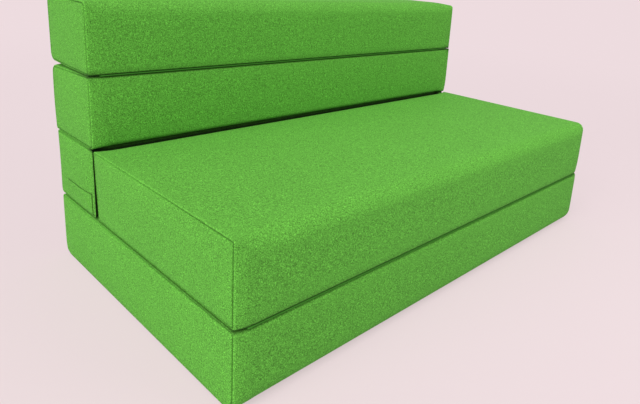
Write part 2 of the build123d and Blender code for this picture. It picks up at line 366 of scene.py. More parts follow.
def tube_faces(start, around, count):
    """The quads between the rings of a tube, ring after ring."""
    faces = []
    for low in range(start, start + (count - 1) * around, around):
        high = low + around
        for k in range(around):
            after = (k + 1) % around
            faces.append((low + k, low + after, high + after, high + k))
    return faces


def tube_uvs(run, stations):
    """Cloth coordinates of those quads: the run round the tube and the place along it."""
    return [
        ((u0, v0), (u1, v0), (u1, v1), (u0, v1))
        for v0, v1 in zip(stations, stations[1:])
        for u0, u1 in zip(run, run[1:])
    ]


# Covers


class Block:
    """Sizes of one block, read from its packed cover, and its rounded section."""

    def __init__(self, name):
        self.name = name
        self.body = BLOCKS[name]["body"]
        sizes = {key: np.array(v) * MM for key, v in BLOCKS[name].items() if key != "body"}
        self.radii, self.drops = sizes["radii"], sizes["drops"]
        self.seam_radii = {-1: sizes["left_radii"], 1: sizes["right_radii"]}
        self.front_fall = {-1: sizes["front_fall"][0], 1: sizes["front_fall"][1]}
        self.rear_fall = sizes["rear_fall"]
        self.level_falls = (sizes["bottom_fall"], sizes["top_fall"])
        self.cloth = {}
        low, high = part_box(f"{name}_cover")
        self.seam_x = high.x
        self.front, self.rear = low.y, high.y
        self.bottom, self.top = low.z + LEVEL_ROOM, high.z - LEVEL_ROOM
        self.middle_z = (low.z + high.z) / 2
        self.corners = (
            (self.front, self.bottom),
            (self.rear, self.bottom),
            (self.rear, self.top),
            (self.front, self.top),
        )
        self.tape_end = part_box(f"{name}_zip_tape")[1].x + LIP_END
        self.chain_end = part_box(f"{name}_zip_chain")[1].x
        self.flat_loop, self.side_counts = self.rounded_loop(self.radii)
        steps = np.diff(self.flat_loop, axis=0, append=self.flat_loop[:1])
        self.run = np.concatenate([[0], np.cumsum(np.linalg.norm(steps, axis=1))])

    def rounded_loop(self, radii):
        """Points (y, z) round the section, from the middle of the front bottom edge.

        The sides come in the order bottom, rear, top, front. Each runs from the middle
        of one rounded edge to the middle of the next.
        """
        along = ((1, 0), (0, 1), (-1, 0), (0, -1))
        inward = ((0, 1), (-1, 0), (0, -1), (1, 0))
        angles = np.radians(45) * (1 - np.arange(CORNER_STEPS + 1) / CORNER_STEPS)
        points, counts = [], []
        for k in range(4):
            first, last = radii[k], radii[(k + 1) % 4]
            if k % 2 == 0:
                length = self.rear - self.front
                count = round(length / FLAT_STEP)
                between = np.linspace(first, length - last, count + 1)[1:-1]
            else:
                length = self.top - self.bottom
                between = self.upright_places(length, first, last)
            side = [(first * (1 - math.sin(a)), first * (1 - math.cos(a))) for a in angles]
            side += [(s, 0) for s in between]
            side += [
                (length - last * (1 - math.sin(a)), last * (1 - math.cos(a)))
                for a in reversed(angles)
            ]
            for s, depth in side[:-1]:
                y = self.corners[k][0] + along[k][0] * s + inward[k][0] * depth
                z = self.corners[k][1] + along[k][1] * s + inward[k][1] * depth
                points.append((y, z))
            counts.append(len(side) - 1)
        return np.array(points), counts

    def upright_places(self, length, first, last):
        """Distances along an upright side, close together round the zip."""
        middle = length / 2
        near = np.array(ZIP_ROWS) * MM
        outer_low = np.linspace(first, middle - near[-1], SIDE_PARTS + 1)[1:-1]
        outer_high = np.linspace(middle + near[-1], length - last, SIDE_PARTS + 1)[1:-1]
        inner = np.concatenate([middle - near[:0:-1], [middle], middle + near[1:]])
        return list(outer_low) + list(inner) + list(outer_high)

    def section(self, x, extra=0.0, past=0.0):
        """The section's points (y, z) at x, drawn in by the extra inset.

        Past the seam, past is how far the section lies inside the seam's outline.
        """
        distance = max(0.0, self.seam_x - abs(x))
        tight = float(near_fall(distance, TIGHT_REACH))
        end = 1 if x > 0 else -1
        radii = self.radii + (self.seam_radii[end] - self.radii) * tight
        loop = self.rounded_loop(radii)[0]
        y, z = loop[:, 0], loop[:, 1]
        drop = self.drops * (1 - (1 - END_CROWN_SHARE) * tight)
        edge = [near_fall(d, CROWN_REACH) for d in (y - self.front, self.rear - y)]
        side = [near_fall(d, CROWN_REACH) for d in (z - self.bottom, self.top - z)]
        inset = extra + past
        if distance < TURNED_EDGE:
            inset += TURNED_EDGE - math.sqrt(TURNED_EDGE**2 - (TURNED_EDGE - distance) ** 2)
        near_end = float(near_fall(distance, SIDE_REACH, SIDE_POWER))
        rear_end = float(near_fall(distance, REAR_REACH))
        share_y = (y - self.front) / (self.rear - self.front)
        share_z = (z - self.bottom) / (self.top - self.bottom)
        low_fall, middle_fall, high_fall = self.rear_fall
        rear_fall = low_fall + (high_fall - low_fall) * share_z
        rear_fall += (middle_fall - (low_fall + high_fall) / 2) * np.sin(np.pi * share_z)
        front_fall = self.front_fall[end] * near_end
        falls = [
            (at_front + (at_rear - at_front) * share_y) * float(near_fall(distance, reach))
            for at_front, at_rear, reach in self.level_falls
        ]
        front = drop[0] * side[0] + drop[3] * side[1] + inset + front_fall
        rear = drop[1] * side[0] + drop[2] * side[1] + inset + rear_fall * rear_end
        bottom = drop[0] * edge[0] + drop[1] * edge[1] + inset + falls[0]
        top = drop[3] * edge[0] + drop[2] * edge[1] + inset + falls[1]
        new_y = y + (1 - share_y) * front - share_y * rear
        new_z = z + (1 - share_z) * bottom - share_z * top
        return np.stack([new_y, new_z], axis=1)

    def stations(self):
        """Places across the width, close together near the seams and the zip's ends."""
        near = [self.seam_x - d * MM for d in END_PLACES]
        zip_ends = [self.tape_end - share * LIP_RISE for share in (0, 0.5, 1)]
        zip_ends += [self.chain_end + d for d in (SLIT_END[1], SLIT_END[0], -SLIT_END[1])]
        count = math.ceil(near[-1] / LONG_STEP)
        plain = list(np.linspace(0, near[-1], count + 1)[1:-1])
        plain = [x for x in plain if min(abs(x - e) for e in zip_ends) > LONG_STEP / 3]
        half_list = sorted(plain + near + zip_ends)
        return np.array([-x for x in reversed(half_list)] + [0.0] + half_list)

    def panel_x(self, side, y, z, past):
        """How far an end panel stands out from the seam plane at (y, z)."""
        edge = TURNED_EDGE + SEAM_PLACE
        from_y = np.minimum(y - self.front, self.rear - y) - SIDE_FALL - edge
        from_z = np.minimum(z - self.bottom, self.top - z) - LEVEL_FALL - edge
        from_y, from_z = np.maximum(from_y, 0), np.maximum(from_z, 0)
        blown = self.blown_cloth(side, y, z)
        dome = (1 - near_fall(from_y, DOME_REACH)) * (1 - near_fall(from_z, DOME_REACH))
        rim = 1 - near_fall(np.minimum(from_y, from_z), RIM_REACH)
        valley = SEAM_DEPTH * np.exp(-(((past - SEAM_PLACE) / SEAM_WIDTH * 2) ** 2))
        return DOME_RISE * dome + RIM_RISE * rim - valley + blown

    def cloth_places(self):
        """The rows and columns, in Y and in Z, of the simulated cloth of an end panel."""
        edge = SIDE_FALL + TURNED_EDGE + SEAM_PLACE
        ys = np.array(spread(self.front + edge, self.rear - edge, CLOTH_CELL))
        edge = TURNED_EDGE + SEAM_PLACE
        return ys, np.array(spread(self.bottom + edge, self.top - edge, CLOTH_CELL))

    def blown_cloth(self, side, y, z):
        """How far the simulated cloth stands out at (y, z), between its grid's points."""
        if side not in self.cloth:
            return 0.0
        ys, zs = self.cloth_places()
        heights = self.cloth[side]
        at_y = np.clip((y - ys[0]) / (ys[1] - ys[0]), 0, len(ys) - 1.001)
        at_z = np.clip((z - zs[0]) / (zs[1] - zs[0]), 0, len(zs) - 1.001)
        i, j = at_y.astype(int), at_z.astype(int)
        u, v = at_y - i, at_z - j
        low = (1 - u) * heights[i, j] + u * heights[i + 1, j]
        high = (1 - u) * heights[i, j + 1] + u * heights[i + 1, j + 1]
        return (1 - v) * low + v * high

    def pulled(self, vertices):
        """Draws the ends in at the corners that the table of pulls names."""
        vertices = np.array(vertices, float)
        x, y, z = vertices.T
        moved = np.zeros(len(x))
        for side in (-1, 1):
            share = smooth_step(side * x, self.seam_x - PULL_REACH, self.seam_x)
            for corner, far, reach in END_PULLS.get((self.name, side), ()):
                corner_y, corner_z = self.corners[corner]
                distance = np.hypot(y - corner_y, z - corner_z)
                moved -= side * far * MM * share * near_fall(distance, reach * MM)
        vertices[:, 0] += moved
        return vertices


def cloth_shade(block, vertices, past):
    """How light the cloth is painted: painted shade in the end seams, at the creases and in the
    gap.

    Past is how far each point lies inside the seam's edge, below 0 on the wrap. The painted
    shade of the top seams fades towards the rear, and the turned edges get a painted
    highlight.
    """
    x, y, z = vertices.T
    on_top = 1 - smooth_step(block.top - z, *TOP_SEAM_BAND)
    share_y = (y - block.front) / (block.rear - block.front)
    faded = 1 - TOP_SEAM_FADE * on_top * smooth_step(share_y, *TOP_SEAM_SHARES)
    # Painted shade in the seam's valley, fading on the top towards the rear
    shade = 1 - (1 - SEAM_SHADE) * faded * np.exp(-(((past - SEAM_PLACE) / SEAM_LINE) ** 2))
    # Painted highlight on the turned edge beside the seam
    shade *= 1 + RIM_LIGHT * np.exp(-(((past + RIM_LIGHT_PLACE) / RIM_LIGHT_WIDTH) ** 2))
    at_end = near_fall(np.abs(past), EDGE_REACH, 1)
    # Painted shade along the creases, at the ends and at the front
    for word, share, end_share in CREASES[block.name]:
        height = np.abs(z - (block.top if word == "top" else block.bottom))
        close = 1 - smooth_step(height, *EDGE_BAND)
        shade *= 1 - (1 - EDGE_SHADE) * end_share * close * at_end
        close = 1 - smooth_step(height, *CREASE_BAND)
        near = share * near_fall(np.abs(y - block.front), CREASE_REACH, 1)
        shade *= 1 - (1 - CREASE_SHADE) * close * near
    # Painted shadow on the cloth inside the gap behind the seat
    if block.name in GAP_SIDES:
        edge = block.front if GAP_SIDES[block.name] == "front" else block.rear
        inside = (1 - smooth_step(np.abs(y - edge), *GAP_BAND)) * (past < -WRAP_EDGE)
        inside *= smooth_step(block.seam_x - x, *GAP_END_BAND)
        if block.name == "seat":
            inside *= smooth_step(block.top - z, *GAP_TOP_BAND)
        shade *= 1 - (1 - GAP_SHADE) * inside
    return shade


def simulate_panels(blocks):
    """Blows all end panels softly outward as cloth with held seams, and keeps the result.

    Each starts as a slightly uneven sheet, so that it has a little spare cloth.
    """
    points, faces, parts, seam = [], [], [], []
    for number, block in enumerate(blocks.values()):
        ys, zs = block.cloth_places()
        for side in (-1, 1):
            start = len(points)
            y, z = np.meshgrid(ys, zs, indexing="ij")
            edge = np.minimum.reduce([y - ys[0], ys[-1] - y, z - zs[0], zs[-1] - z])
            waves = np.zeros(y.shape)
            for long_y, long_z, phase, share in CLOTH_WAVES:
                turn = phase * (1 + number) + side
                angle = y / (long_y * MM) + z / (long_z * MM) * side + turn
                waves += share * np.sin(2 * np.pi * angle)
            x = CLOTH_SLACK * waves * smooth_step(edge, 0, 3 * CLOTH_CELL)
            places = np.stack([side * (block.seam_x + x), y, z], axis=-1)
            points += places.reshape(-1, 3).tolist()
            rows = len(zs)
            for i in range(len(ys) - 1):
                for j in range(rows - 1):
                    a, b = start + i * rows + j, start + (i + 1) * rows + j
                    corners = (a, b, b + 1, a + 1)
                    faces.append(corners if side > 0 else corners[::-1])
            parts.append((block, side, start, y.shape))
            seam += [start + int(k) for k in np.flatnonzero(edge.ravel() < CLOTH_CELL / 2)]
    mesh = bpy.data.meshes.new("panel_cloth")
    mesh.from_pydata(points, [], faces)
    sheet = bpy.data.objects.new("panel_cloth", mesh)
    bpy.context.scene.collection.objects.link(sheet)
    held = sheet.vertex_groups.new(name="seam")
    held.add(seam, 1.0, "REPLACE")
    cloth = sheet.modifiers.new("cloth", "CLOTH")
    cloth.settings.quality = CLOTH_QUALITY
    cloth.settings.vertex_group_mass = "seam"
    cloth.settings.use_pressure = True
    cloth.settings.uniform_pressure_force = CLOTH_PRESSURE
    cloth.settings.effector_weights.gravity = 0.0
    cloth.point_cache.frame_start = 1
    cloth.point_cache.frame_end = CLOTH_FRAMES
    for number in range(1, CLOTH_FRAMES + 1):
        bpy.context.scene.frame_set(number)
    blown = sheet.evaluated_get(bpy.context.evaluated_depsgraph_get())
    places = np.empty(len(points) * 3)
    blown.data.vertices.foreach_get("co", places)
    x = places.reshape(-1, 3)[:, 0]
    bpy.data.objects.remove(sheet)
    bpy.data.meshes.remove(mesh)
    bpy.context.scene.frame_set(1)
    for block, side, start, shape in parts:
        count = shape[0] * shape[1]
        heights = side * x[start : start + count] - block.seam_x
        block.cloth[side] = (CLOTH_CAP * np.tanh(heights / CLOTH_CAP)).reshape(shape)


def groove_depth(block, x, dz):
    """Depth of the zip's groove and slit in a rear face, dz from its middle height."""
    dz = np.abs(dz) / MM
    lips = 1 - smooth_step(abs(x), block.tape_end - LIP_RISE, block.tape_end)
    slit = 1 - smooth_step(abs(x) - block.chain_end, *SLIT_END)
    groove = GROOVE_DEPTH * lips * (1 - smooth_step(dz, ZIP_ROWS[3], ZIP_ROWS[5]))
    deep = (SLIT_DEPTH - GROOVE_DEPTH) * slit * (1 - smooth_step(dz, ZIP_ROWS[2], ZIP_ROWS[3]))
    return groove + deep


def cover_mesh(block):
    """A whole cover as one closed mesh of quads: the wrap, its end seams and panels."""
    stations = block.stations()
    around = len(block.flat_loop)
    dz = block.flat_loop[:, 1] - block.middle_z
    rear_rows = block.flat_loop[:, 0] > block.rear - TOUCH
    points = []
    for x in stations:
        section = block.section(x)
        section[:, 0] -= np.where(rear_rows, groove_depth(block, x, dz), 0)
        points.append(np.column_stack([np.full(around, x), section]))
    past = np.repeat(np.abs(stations) - block.seam_x, around)
    faces = tube_faces(0, around, len(stations))
    uvs = tube_uvs(block.run, stations)
    vertices = np.concatenate(points)
    for side, start in ((-1, 0), (1, (len(stations) - 1) * around)):
        vertices, end_faces, end_uvs, end_past = add_end(block, side, start, vertices)
        faces += end_faces
        uvs += end_uvs
        past = np.concatenate([past, end_past])
    return block.pulled(vertices), faces, uvs, cloth_shade(block, vertices, past)


def add_end(block, side, start, vertices):
    """The seam's rings and the domed panel that close a wrap at one end."""
    around = len(block.flat_loop)
    faces, uvs, rings, added = [], [], [np.arange(start, start + around)], []
    total = len(vertices)
    for ring in PANEL_RINGS:
        section = block.section(side * block.seam_x, past=ring * MM)
        x = block.seam_x + block.panel_x(side, section[:, 0], section[:, 1], ring * MM)
        added.append(np.column_stack([side * x, section]))
        rings.append(np.arange(total, total + around))
        total += around
    last = added[-1][:, 1:]
    count_y, count_z = block.side_counts[:2]
    bottom = last[: count_y + 1]
    rear = last[count_y : count_y + count_z + 1]
    top = last[count_y + count_z : 2 * count_y + count_z + 1][::-1]
    front = np.concatenate([last[2 * count_y + count_z :], last[:1]])[::-1]
    u = (bottom[:, 0] - bottom[0, 0]) / (bottom[-1, 0] - bottom[0, 0]) / 2
    u = u + (top[:, 0] - top[0, 0]) / (top[-1, 0] - top[0, 0]) / 2
    v = (front[:, 1] - front[0, 1]) / (front[-1, 1] - front[0, 1]) / 2
    v = v + (rear[:, 1] - rear[0, 1]) / (rear[-1, 1] - rear[0, 1]) / 2
    u, v = u[:, None, None], v[None, :, None]
    grid = (1 - v) * bottom[:, None] + v * top[:, None]
    grid = grid + (1 - u) * front[None] + u * rear[None]
    grid = grid - (1 - u) * (1 - v) * bottom[0] - u * (1 - v) * bottom[-1]
    grid = grid - u * v * top[-1] - (1 - u) * v * top[0]
    inner = grid[1:-1, 1:-1].reshape(-1, 2)
    x = block.seam_x + block.panel_x(side, inner[:, 0], inner[:, 1], PANEL_RINGS[-1] * MM)
    added.append(np.column_stack([side * x, inner]))
    numbers = np.zeros((count_y + 1, count_z + 1), int)
    rim = rings[-1]
    numbers[:, 0] = rim[: count_y + 1]
    numbers[-1, :] = rim[count_y : count_y + count_z + 1]
    numbers[:, -1] = rim[count_y + count_z : 2 * count_y + count_z + 1][::-1]
    numbers[0, :] = np.concatenate([rim[2 * count_y + count_z :], rim[:1]])[::-1]
    inner_numbers = np.arange(total, total + len(inner))
    numbers[1:-1, 1:-1] = inner_numbers.reshape(count_y - 1, count_z - 1)
    vertices = np.concatenate([vertices, *added])

    def add_face(corners):
        corners = corners if side > 0 else corners[::-1]
        faces.append(tuple(int(c) for c in corners))
        uvs.append(tuple(tuple(vertices[c][1:]) for c in corners))

    for outer, inner_ring in zip(rings, rings[1:]):
        for k in range(around):
            after = (k + 1) % around
            add_face((outer[k], inner_ring[k], inner_ring[after], outer[after])[::-1])
    for i in range(count_y):
        for j in range(count_z):
            low, high = numbers[i], numbers[i + 1]
            add_face((low[j], high[j], high[j + 1], low[j + 1]))
    past = np.repeat(np.array(PANEL_RINGS) * MM, around)
    past = np.concatenate([past, np.full(len(inner), DOME_REACH)])
    return vertices, faces, uvs, past


def add_object(name, vertices, faces, uvs=None, shade=None):
    """A smooth mesh object from points and faces, with its cloth coordinates in metres."""
    mesh = bpy.data.meshes.new(name)
    mesh.from_pydata([tuple(point) for point in vertices], [], faces)
    # The shade attribute holds painted shade and painted highlights that scale the cloth's
    # colour
    layer = mesh.attributes.new("shade", "FLOAT", "POINT")
    layer.data.foreach_set("value", np.ones(len(vertices)) if shade is None else shade)
    if uvs is not None:
        layer = mesh.uv_layers.new(name="cloth")
        layer.data.foreach_set("uv", np.array(uvs, np.float32).ravel())
    mesh.polygons.foreach_set("use_smooth", [True] * len(mesh.polygons))
    mesh.update()
    obj = bpy.data.objects.new(name, mesh)
    bpy.context.scene.collection.objects.link(obj)
    return obj


def face_outward(obj):
    """Turns all faces of closed pieces outward."""
    shape = bmesh.new()
    shape.from_mesh(obj.data)
    bmesh.ops.recalc_face_normals(shape, faces=shape.faces)
    shape.to_mesh(obj.data)
    shape.free()


def finish_piece(obj, body, material, replaced):
    """Rides a piece on its body, gives it its material and hides the parts that it replaces."""
    obj.data.materials.append(material)
    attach(obj, body)
    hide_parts(*replaced)


# Foam cores


def core_mesh(block, name):
    """A cut foam block inside a cover, with room behind the zip."""
    end = block.seam_x - CORE_INSET
    stations = [-end, -end + CORE_BEVEL]
    stations += spread(-end + SIDE_REACH, end - SIDE_REACH, CORE_STEP)
    stations += [end - CORE_BEVEL, end]
    behind = np.abs(block.flat_loop[:, 1] - block.middle_z) < ZIP_ROOM
    behind &= block.flat_loop[:, 0] > block.rear - TOUCH
    points = []
    for x in stations:
        bevel = CORE_BEVEL / 2 if abs(x) > end - CORE_BEVEL / 2 else 0
        section = block.section(x, extra=CORE_INSET + bevel)
        section[:, 0] -= np.where(behind, SLIT_DEPTH, 0)
        points.append(np.column_stack([np.full(len(section), x), section]))
    around = len(block.flat_loop)
    last = (len(stations) - 1) * around
    faces = tube_faces(0, around, len(stations))
    faces += [tuple(reversed(range(around))), tuple(range(last, last + around))]
    return add_object(name, block.pulled(np.concatenate(points)), faces)


# Tapes and patches


def strip(name, routes, thickness, half_length):
    """Strips of cloth along X. Each follows a route of points (y, z) across its width."""
    stations = spread(-half_length, half_length, STRIP_STEP)
    points, faces, uvs = [], [], []
    for route in routes:
        route = np.array(route)
        ahead = np.gradient(route, axis=0)
        ahead /= np.linalg.norm(ahead, axis=1)[:, None]
        across = np.column_stack([-ahead[:, 1], ahead[:, 0]]) * thickness / 2
        loop = np.concatenate([route + across, (route - across)[::-1]])
        run = np.concatenate([[0], np.cumsum(np.linalg.norm(np.diff(route, axis=0), axis=1))])
        around, start = len(loop), len(points)
        for x in stations:
            points += [(x, y, z) for y, z in loop]
        faces += tube_faces(start, around, len(stations))
        uvs += tube_uvs([*run, *run[::-1], run[0]], stations)
        for low in (start, start + (len(stations) - 1) * around):
            for k in range(len(route) - 1):
                corners = (k, k + 1, around - 2 - k, around - 1 - k)
                faces.append(tuple(low + c for c in corners))
                u0, u1 = run[k], run[k + 1]
                uvs.append(((u0, 0), (u1, 0), (u1, thickness), (u0, thickness)))
    obj = add_object(name, points, faces, uvs)
    face_outward(obj)
    return obj


def fold_route(face, level, inward):
    """Section of a tape folded in a crease: two legs and the turn between them."""
    leg = [(TAPE_REACH, TAPE_TIP), ((TAPE_REACH + TAPE_TURN) / 2, (TAPE_TIP + TAPE_HALF) / 2)]
    leg.append((TAPE_TURN, TAPE_HALF))
    route = [(depth, -height) for depth, height in leg]
    for k in range(1, TURN_STEPS):
        angle = math.pi * (k / TURN_STEPS - 0.5)
        route.append((TAPE_TURN - TAPE_HALF * math.cos(angle), TAPE_HALF * math.sin(angle)))
    route += [(depth, height) for depth, height in reversed(leg)]
    return [(face + inward * depth, level + height) for depth, height in route]


def patch_mesh(name, block, side, size):
    """A square of fabric laid on the lower front corner of an end panel.

    Rays from 1 m beside the middle find the face that it lies on.
    """
    seam = TURNED_EDGE + SEAM_PLACE + PATCH_MARGIN
    start_y, start_z = block.front + SIDE_FALL + seam, block.bottom + LEVEL_FALL + seam
    ys = np.array(spread(0, size[0], PATCH_STEP))
    zs = np.array(spread(0, size[1], PATCH_STEP))
    rows, uvs, faces = [], [], []
    for lift, turn in ((PATCH_LIFT, PATCH_TURN), (PATCH_UNDER, 0)):
        for y in ys:
            for z in zs:
                edge = min(y, size[0] - y, z, size[1] - z)
                rise = lift - turn * float(near_fall(edge, PATCH_TURN_REACH))
                place = (start_y + y, start_z + z)
                start = Vector((side, *place))
                hit = block.tree.ray_cast(start, Vector((-side, 0, 0)))[0]
                rows.append((hit.x + side * rise, *place))
    count = len(zs)
    total = len(ys) * count

    def add_face(corners):
        faces.append(tuple(corners))
        uvs.append([rows[c][1:] for c in corners])

    for i in range(len(ys) - 1):
        for j in range(count - 1):
            low, high = i * count + j, (i + 1) * count + j
            quad = (low, high, high + 1, low + 1)
            add_face(quad)
            add_face([total + c for c in quad])
    rim = [i * count for i in range(len(ys))]
    rim += [(len(ys) - 1) * count + j for j in range(1, count)]
    rim += [i * count + count - 1 for i in range(len(ys) - 2, -1, -1)]
    rim += list(range(count - 2, 0, -1))
    for a, b in zip(rim, rim[1:] + rim[:1]):
        add_face((a, b, total + b, total + a))
    # Painted shadow along the patch's rims
    shade = np.ones((2, total))
    shade[:, rim] = PATCH_RIM_SHADE
    obj = add_object(name, rows, faces, uvs, shade.ravel())
    face_outward(obj)
    return obj


# Zips


def zip_tape_mesh(name, block):
    """The two woven tapes of a zip, with the corded edge that carries the coils."""
    low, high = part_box(f"{block.name}_zip_tape")
    thickness = high.y - low.y
    middle_y, middle_z = (low.y + high.y) / 2, (low.z + high.z) / 2
    routes = []
    for side in (1, -1):
        edge, far = ZIP_TRACK / 2, (high.z - low.z) / 2
        places = [edge, edge + TAPE_CORD[0], edge + TAPE_CORD[1], far - TAPE_HEM, far]
        routes.append([(middle_y, middle_z + side * place) for place in places])
    return strip(name, routes, thickness, high.x)


def chain_mesh(name, block):
    """The coils of a closed zip: slanted, interlocking loops and a stop at each end."""
    low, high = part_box(f"{block.name}_zip_chain")
    centre_z = (low.z + high.z) / 2
    height = high.y - low.y
    around = len(COIL_OUTLINE)
    points, faces = [], []

    def add_rings(x, side, rows, slant):
        start = len(points)
        for z, width, rise in rows:
            for u, v in COIL_OUTLINE:
                lean = slant * (z - rows[0][0]) / (rows[-1][0] - rows[0][0])
                y = low.y + height * v * rise
                points.append((x + (u * width + lean) * COIL_PITCH, y, centre_z + side * z * MM))
        faces.extend(tube_faces(start, around, len(rows)))
        for first in (start, start + (len(rows) - 1) * around):
            faces.append(tuple(range(first, first + around)))

    room = high.x - STOP_LENGTH
    count = int(2 * room / COIL_PITCH)
    for side, offset in COIL_OFFSETS.items():
        for i in range(count):
            add_rings(-room + (i + offset) * COIL_PITCH, side, COIL_ROWS, COIL_SLANT)
    wide = STOP_LENGTH / COIL_PITCH
    stop_rows = [(z, share * wide, rise) for z, share, rise in STOP_ROWS]
    for side in (1, -1):
        add_rings(side * (high.x - STOP_LENGTH / 2), 1, stop_rows, 0)
    obj = add_object(name, points, faces)
    face_outward(obj)
    return obj


# Materials


def node(tree, kind, inputs=None, **settings):
    """Adds a shader node, sets its properties and links or sets its inputs."""
    made = tree.nodes.new("ShaderNode" + kind)
    for key, value in settings.items():
        setattr(made, key, value)
    for key, value in (inputs or {}).items():
        if isinstance(value, bpy.types.NodeSocket):
            tree.links.new(value, made.inputs[key])
        else:
            made.inputs[key].default_value = value
    return made


def calculate(tree, operation, first, second=0.0):
    """One sum on numbers."""
    return node(tree, "Math", {0: first, 1: second}, operation=operation).outputs[0]


def start_material(name, rgb, roughness, specular):
    """A new material with a plain shader: its tree, its shader and rest coordinates."""
    material = bpy.data.materials.new(name)
    material.use_nodes = True
    material.diffuse_color = (*rgb, 1)
    tree = material.node_tree
    shader = tree.nodes["Principled BSDF"]
    shader.inputs["Roughness"].default_value = roughness
    shader.inputs["Specular IOR Level"].default_value = specular
    rest = node(tree, "TexCoord").outputs["Object"]
    return material, tree, shader, rest


def speckle(tree, rest, size, amount):
    """A factor round 1 that varies by the amount over spots of one size."""
    inputs = {"Vector": rest, "Scale": 1 / size, "Detail": 1.0, "Roughness": NOISE_ROUGHNESS}
    spots = node(tree, "TexNoise", inputs).outputs[0]
    low, high = NOISE_RANGE
    limits = {0: spots, 1: low, 2: high, 3: 1 - amount, 4: 1 + amount}
    return node(tree, "MapRange", limits, clamp=False).outputs[0]


def tint(tree, rgb, factors):
    """A colour made lighter and darker by factors."""
    total = factors[0]
    for factor in factors[1:]:
        total = calculate(tree, "MULTIPLY", total, factor)
    return node(tree, "VectorMath", {0: rgb, "Scale": total}, operation="SCALE").outputs[0]


def woven(name, rgb, pitch, depth, spots, roughness, sheen):
    """Plain woven cloth: threads in relief, speckled yarn and a soft sheen."""
    material, tree, shader, rest = start_material(name, rgb, roughness, CLOTH_SHINE)
    place = node(tree, "UVMap", uv_map="cloth").outputs[0]
    axes = node(tree, "SeparateXYZ", {0: place}).outputs
    turns = 2 * math.pi / pitch
    phases = [calculate(tree, "MULTIPLY", axes[k], turns) for k in (0, 1)]
    waves = [calculate(tree, "SINE", phase) for phase in phases]
    weave = calculate(tree, "MULTIPLY", *waves)
    # The threads' colour follows the weave's relief: painted light on raised threads and painted
    # shade in the hollows
    limits = {0: weave, 1: -1.0, 2: 1.0, 3: 1 - THREAD_LIGHT, 4: 1 + THREAD_LIGHT}
    thread = node(tree, "MapRange", limits).outputs[0]
    # The mesh's painted shade and painted highlights darken and lighten the cloth's colour
    shade = node(tree, "Attribute", attribute_name="shade").outputs["Fac"]
    grain = [speckle(tree, rest, size, spots * share) for size, share in SPECKLES]
    broad = speckle(tree, rest, *PATCHES)
    colour = tint(tree, rgb, [*grain, broad, thread, shade])
    tree.links.new(colour, shader.inputs["Base Color"])
    height = calculate(tree, "MULTIPLY_ADD", weave, 0.5)
    height = calculate(tree, "ADD", height, grain[0])
    bump = node(tree, "Bump", {"Height": height, "Strength": THREAD_BUMP, "Distance": depth})
    tree.links.new(bump.outputs[0], shader.inputs["Normal"])
    shader.inputs["Sheen Weight"].default_value = sheen
    shader.inputs["Sheen Roughness"].default_value = SHEEN_ROUGHNESS
    shader.inputs["Sheen Tint"].default_value = (*[min(1, SHEEN_PALE + c) for c in rgb], 1)
    return material


def moulded(name, rgb, roughness, spots):
    """Plastic or painted metal with a slightly uneven skin."""
    material, tree, shader, rest = start_material(name, rgb, roughness, SKIN_SHINE)
    fine = speckle(tree, rest, SKIN_SPOTS, spots)
    broad = speckle(tree, rest, SKIN_PATCHES, spots)
    tree.links.new(tint(tree, rgb, [fine, broad]), shader.inputs["Base Color"])
    low, high = (roughness + change for change in SKIN_CHANGES)
    limits = {0: broad, 1: 1 - spots, 2: 1 + spots, 3: low, 4: high}
    rough = node(tree, "MapRange", limits).outputs[0]
    tree.links.new(rough, shader.inputs["Roughness"])
    relief = {"Height": fine, "Strength": SKIN_BUMP, "Distance": SKIN_RELIEF}
    bump = node(tree, "Bump", relief)
    tree.links.new(bump.outputs[0], shader.inputs["Normal"])
    return material


def foam_material():
    """Open-cell foam: pores of several sizes in a cream body, darkened as painted shade."""
    material, tree, shader, rest = start_material("foam_core", FOAM_CREAM, *FOAM_FINISH)
    inputs = {"Vector": rest, "Scale": 1 / PORE_SIZE, "Randomness": 1.0}
    cells = node(tree, "TexVoronoi", inputs).outputs["Distance"]
    limits = {0: cells, 1: 0.0, 2: 0.5, 3: PORE_SHADE, 4: 1.0}
    pores = node(tree, "MapRange", limits).outputs[0]
    broad = speckle(tree, rest, *FOAM_PATCHES)
    tree.links.new(tint(tree, FOAM_CREAM, [pores, broad]), shader.inputs["Base Color"])
    relief = {"Height": cells, "Strength": PORE_BUMP, "Distance": PORE_RELIEF}
    bump = node(tree, "Bump", relief)
    tree.links.new(bump.outputs[0], shader.inputs["Normal"])
    return material


# Stage


def add_camera():
    """The camera at the photograph's place, with the photograph's framing."""
    ahead = Vector((math.sin(CAMERA_YAW), math.cos(CAMERA_YAW), 0)) * math.cos(CAMERA_PITCH)
    ahead.z = -math.sin(CAMERA_PITCH)
    level = Vector((math.cos(CAMERA_YAW), -math.sin(CAMERA_YAW), 0))
    up = level.cross(ahead)
    right = level * math.cos(CAMERA_ROLL) + up * math.sin(CAMERA_ROLL)
    above = up * math.cos(CAMERA_ROLL) - level * math.sin(CAMERA_ROLL)
    lens = bpy.data.cameras.new("camera")
    lens.sensor_fit = "HORIZONTAL"
    lens.sensor_width = SENSOR_WIDTH
    lens.lens = FOCAL_PIXELS / IMAGE_WIDTH * SENSOR_WIDTH
    lens.shift_x = (IMAGE_WIDTH / 2 - CENTRE_PIXEL_X) / IMAGE_WIDTH
    lens.shift_y = (CENTRE_PIXEL_Y - IMAGE_HEIGHT / 2) / IMAGE_WIDTH
    lens.clip_end = VIEW_END
    camera = bpy.data.objects.new("camera", lens)
    turn = Matrix((right, above, -ahead)).transposed().to_4x4()
    camera.matrix_world = Matrix.Translation(CAMERA_PLACE) @ turn
    bpy.context.scene.collection.objects.link(camera)
    bpy.context.scene.camera = camera


